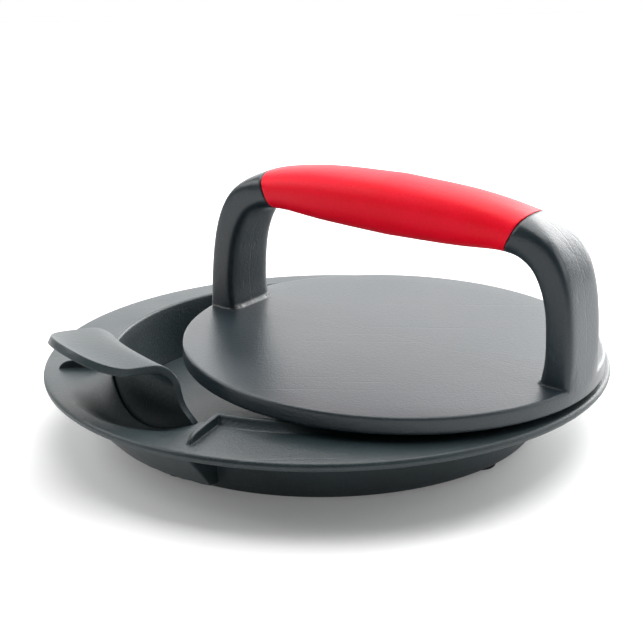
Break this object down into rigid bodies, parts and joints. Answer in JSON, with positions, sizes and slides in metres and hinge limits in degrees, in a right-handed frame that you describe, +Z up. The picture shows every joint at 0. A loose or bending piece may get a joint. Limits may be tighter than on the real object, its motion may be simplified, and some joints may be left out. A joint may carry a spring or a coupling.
{
  "type": "patty press",
  "caption": "Hand press for round meat patties: a flanged bowl with a lift-out plate and finger tab, and a loose disc press with a bridge handle.",
  "frame": {"origin": "on the bowl's axis, at the height of the table it stands on", "axes": "+Z up along the bowl's axis, +X to the right and +Y away from the picture's camera"},
  "size_m": [0.1604, 0.1604, 0.0731],
  "materials": {
    "dark_plastic": "fine satin grain",
    "red_grip": "soft-touch satin",
    "foot_rubber": "matte",
    "screw_steel": "plain"
  },
  "bodies": {
    "base": {"base_bowl": "dark_plastic", "foot_pad_front_left": "foot_rubber", "foot_pad_front_right": "foot_rubber", "foot_pad_back_right": "foot_rubber", "foot_pad_back_left": "foot_rubber"},
    "plate": {"lift_plate": "dark_plastic"},
    "press": {"press_body": "dark_plastic", "press_face": "dark_plastic", "grip_sleeve": "red_grip", "face_screw_left": "screw_steel", "face_screw_right": "screw_steel"}
  },
  "joints": [
    {"name": "plate_lift", "type": "slide", "parent": "base", "child": "plate", "axis": [0, 0, 1], "range_m": [0, 0.015]},
    {"name": "press_lift", "type": "slide", "parent": "base", "child": "press", "axis": [0, 0, 1], "range_m": [0, 0.09]}
  ]
}
